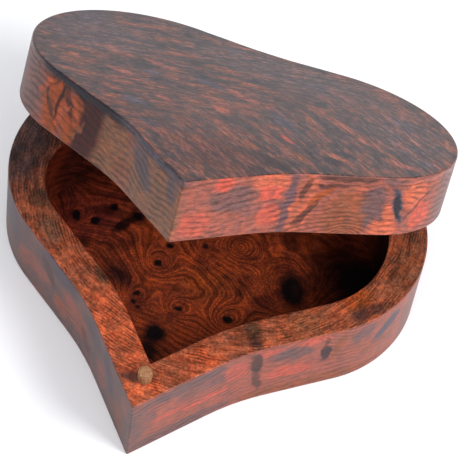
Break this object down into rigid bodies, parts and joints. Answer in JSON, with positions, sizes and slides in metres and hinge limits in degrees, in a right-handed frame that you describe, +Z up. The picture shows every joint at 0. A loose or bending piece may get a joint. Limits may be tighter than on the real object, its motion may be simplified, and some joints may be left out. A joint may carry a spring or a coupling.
{
  "type": "heart-shaped hinged box",
  "caption": "Heart-shaped burl wood box with a hollow base, a hollow lid on a rear hinge, and a notched catch peg that a sliding pin in the lid can lock.",
  "frame": {"origin": "on the underside of the base, midway between the tip of the heart and the back of its lobes", "axes": "+Z up through the lid, -Y toward the tip of the heart, +X toward the right lobe as seen from the tip"},
  "size_m": [0.12, 0.1159, 0.0961],
  "materials": {
    "wood_rim": "satin oiled burl",
    "wood_floor": "satin oiled burl",
    "wood_lid_side": "satin oiled burl",
    "wood_lid_top": "satin polished burl",
    "wood_dowel": "bare dowel",
    "hinge_brass": "aged satin",
    "pin_steel": "plain drawn wire"
  },
  "bodies": {
    "base": {"base_wall": "wood_rim", "base_floor": "wood_floor", "catch_peg": "wood_dowel", "hinge_leaf_base": "hinge_brass", "hinge_pin": "hinge_brass", "hinge_screws_base": "hinge_brass"},
    "lid": {"lid_wall": "wood_lid_side", "lid_top": "wood_lid_top", "hinge_leaf_lid": "hinge_brass", "hinge_screws_lid": "hinge_brass", "bore_plug": "wood_dowel"},
    "lock_pin": {"lock_pin": "pin_steel"}
  },
  "joints": [
    {"name": "lid_hinge", "type": "hinge", "parent": "base", "child": "lid", "pos_m": [0, 0.0537, 0.02555], "axis": [-1, 0, 0], "range_deg": [-31.5, 63.5]},
    {"name": "lock_slide", "type": "slide", "parent": "lid", "child": "lock_pin", "axis": [0, -0.8526, 0.5225], "range_m": [0, 0.0063]}
  ]
}
